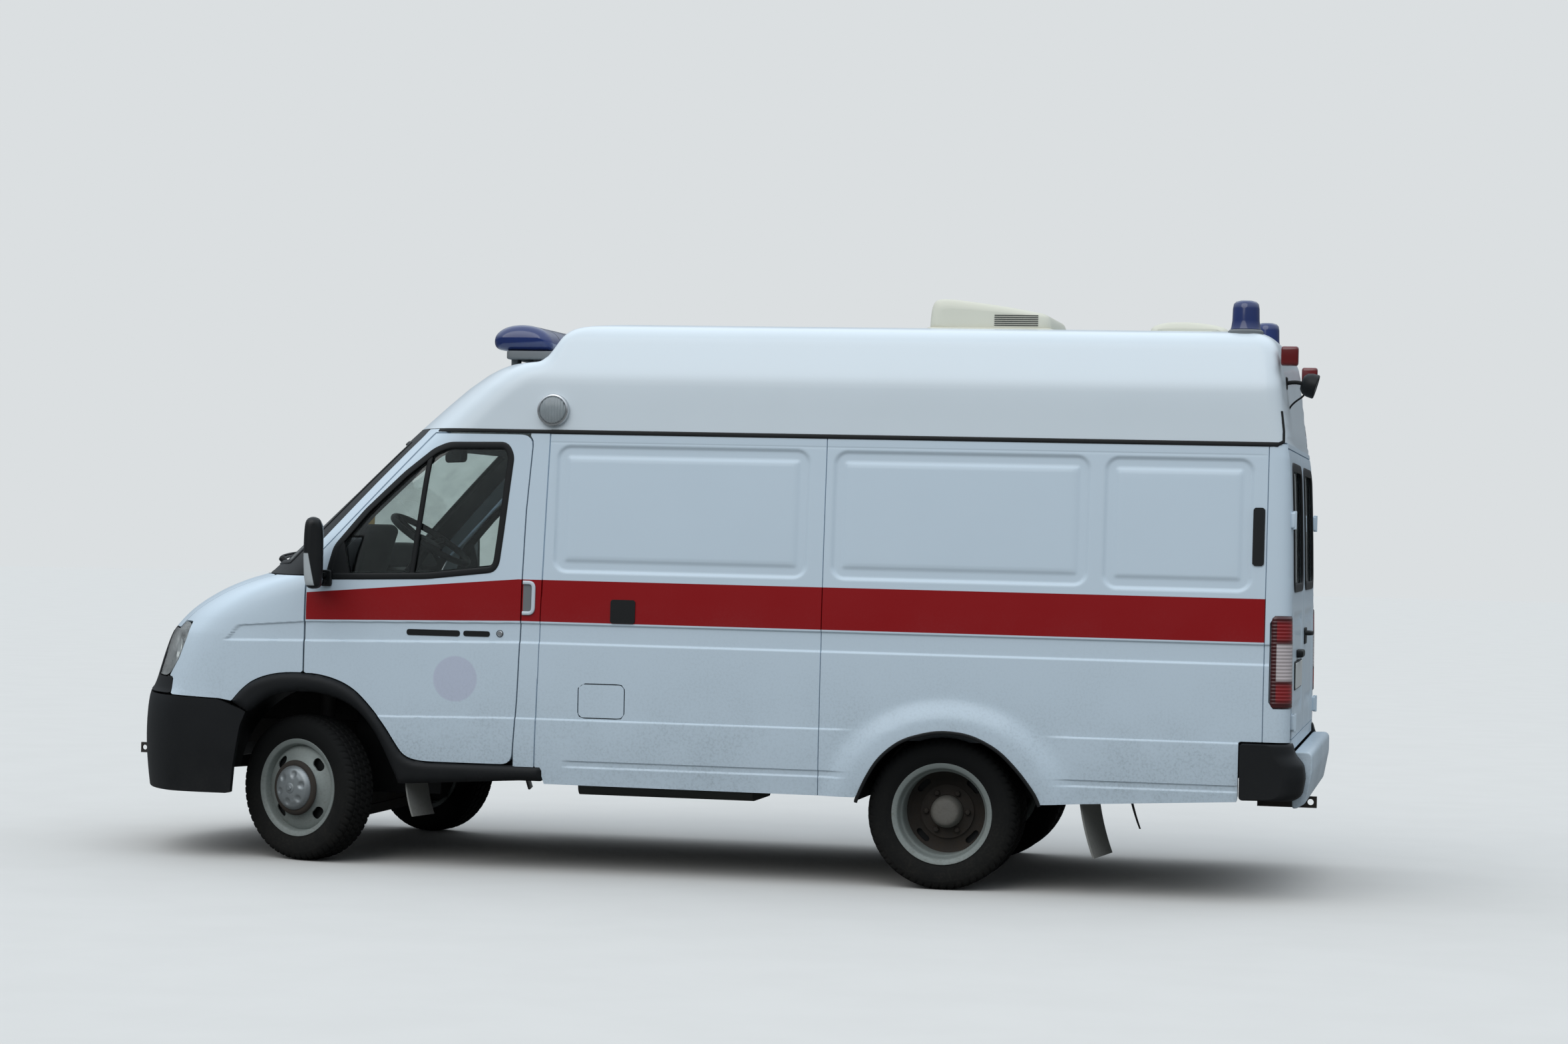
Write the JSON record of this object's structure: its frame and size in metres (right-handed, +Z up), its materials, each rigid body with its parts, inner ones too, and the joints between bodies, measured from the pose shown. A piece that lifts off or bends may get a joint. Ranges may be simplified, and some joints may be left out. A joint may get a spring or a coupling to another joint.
{
  "type": "high-roof ambulance van",
  "caption": "High-roof panel van ambulance with a blue light bar, hinged doors and bonnet, steered front wheels and twin rear wheels.",
  "frame": {"origin": "on the ground, below the middle of the vehicle's length and width", "axes": "+X to the rear, +Y to the vehicle's right, +Z up"},
  "size_m": [5.52, 2.5, 2.618],
  "materials": {
    "body_paint": "gloss",
    "roof_shell": "gloss",
    "black_plastic": "satin",
    "cream_plastic": "satin",
    "clear_glass": "clear",
    "lamp_glass": "clear",
    "red_lamp": "gloss",
    "blue_lamp": "clear",
    "inner_paint": "satin",
    "seat_cover": "woven",
    "dark_steel": "matt",
    "tank_steel": "satin",
    "rim_paint": "satin",
    "tyre_rubber": "matt"
  },
  "bodies": {
    "body": {"side_left": "body_paint", "side_right": "body_paint", "sliding_door": "body_paint", "cab_frame": "body_paint", "wings": "body_paint", "rear_frame": "body_paint", "rear_bumper": "body_paint", "roof_cap": "roof_shell", "front_bumper": "black_plastic", "grille": "black_plastic", "trim": "black_plastic", "bumper_corners": "black_plastic", "lamp_bases": "black_plastic", "dashboard": "black_plastic", "steering_wheel": "black_plastic", "work_lamp": "black_plastic", "roof_units": "cream_plastic", "windscreen": "clear_glass", "headlamps": "lamp_glass", "side_lamps": "lamp_glass", "tail_lamps": "red_lamp", "marker_lamps": "red_lamp", "blue_lamps": "blue_lamp", "floors": "inner_paint", "bulkhead": "inner_paint", "seat_frames": "inner_paint", "seat_cushions": "seat_cover", "chassis": "dark_steel", "engine": "dark_steel", "front_axle": "dark_steel", "rear_axle": "dark_steel", "underbody": "tank_steel"},
    "bonnet": {"bonnet": "body_paint"},
    "fuel_flap": {"fuel_flap": "body_paint"},
    "door_left": {"door_left": "body_paint", "door_glass_left": "clear_glass", "mirror_left": "black_plastic"},
    "rear_door_left": {"rear_door_left": "body_paint", "rear_door_glass_left": "clear_glass"},
    "knuckle_left": {"knuckle_left": "dark_steel"},
    "wheel_front_left": {"front_rim_left": "rim_paint", "front_tyre_left": "tyre_rubber"},
    "wheels_rear_left": {"twin_rims_left": "rim_paint", "twin_tyres_left": "tyre_rubber"},
    "door_right": {"door_right": "body_paint", "door_glass_right": "clear_glass", "mirror_right": "black_plastic"},
    "rear_door_right": {"rear_door_right": "body_paint", "rear_door_glass_right": "clear_glass"},
    "knuckle_right": {"knuckle_right": "dark_steel"},
    "wheel_front_right": {"front_rim_right": "rim_paint", "front_tyre_right": "tyre_rubber"},
    "wheels_rear_right": {"twin_rims_right": "rim_paint", "twin_tyres_right": "tyre_rubber"}
  },
  "joints": [
    {"name": "bonnet_hinge", "type": "hinge", "parent": "body", "child": "bonnet", "pos_m": [-1.928, 0, 1.291], "axis": [0, 1, 0], "range_deg": [0, 50]},
    {"name": "fuel_flap_hinge", "type": "hinge", "parent": "body", "child": "fuel_flap", "pos_m": [-0.443, -1.0405, 0.772], "axis": [0, 0, -1], "range_deg": [0, 95]},
    {"name": "front_door_left_hinge", "type": "hinge", "parent": "body", "child": "door_left", "pos_m": [-1.705, -1.03, 1.2], "axis": [0, 0, -1], "range_deg": [0, 72]},
    {"name": "rear_door_left_hinge", "type": "hinge", "parent": "body", "child": "rear_door_left", "pos_m": [2.688, -0.94, 1.3], "axis": [0, 0, -1], "range_deg": [0, 180]},
    {"name": "steer_left", "type": "hinge", "parent": "body", "child": "knuckle_left", "pos_m": [-1.72, -0.76, 0.33], "axis": [0, 0, 1], "range_deg": [-13, 57]},
    {"name": "spin_front_left", "type": "hinge", "parent": "knuckle_left", "child": "wheel_front_left", "pos_m": [-1.72, -0.76, 0.33], "axis": [0.3746, 0.9272, 0], "continuous": true},
    {"name": "spin_rear_left", "type": "hinge", "parent": "body", "child": "wheels_rear_left", "pos_m": [1.18, -0.785, 0.33], "axis": [0, 1, 0], "continuous": true},
    {"name": "front_door_right_hinge", "type": "hinge", "parent": "body", "child": "door_right", "pos_m": [-1.705, 1.03, 1.2], "axis": [0, 0, 1], "range_deg": [0, 72]},
    {"name": "rear_door_right_hinge", "type": "hinge", "parent": "body", "child": "rear_door_right", "pos_m": [2.688, 0.94, 1.3], "axis": [0, 0, 1], "range_deg": [0, 180]},
    {"name": "steer_right", "type": "hinge", "parent": "body", "child": "knuckle_right", "pos_m": [-1.72, 0.76, 0.33], "axis": [0, 0, 1], "range_deg": [-13, 57]},
    {"name": "spin_front_right", "type": "hinge", "parent": "knuckle_right", "child": "wheel_front_right", "pos_m": [-1.72, 0.76, 0.33], "axis": [0.3746, 0.9272, 0], "continuous": true},
    {"name": "spin_rear_right", "type": "hinge", "parent": "body", "child": "wheels_rear_right", "pos_m": [1.18, 0.785, 0.33], "axis": [0, 1, 0], "continuous": true}
  ],
  "couplings": [
    {"joint": "steer_right", "follows": "steer_left", "ratio": 1}
  ]
}
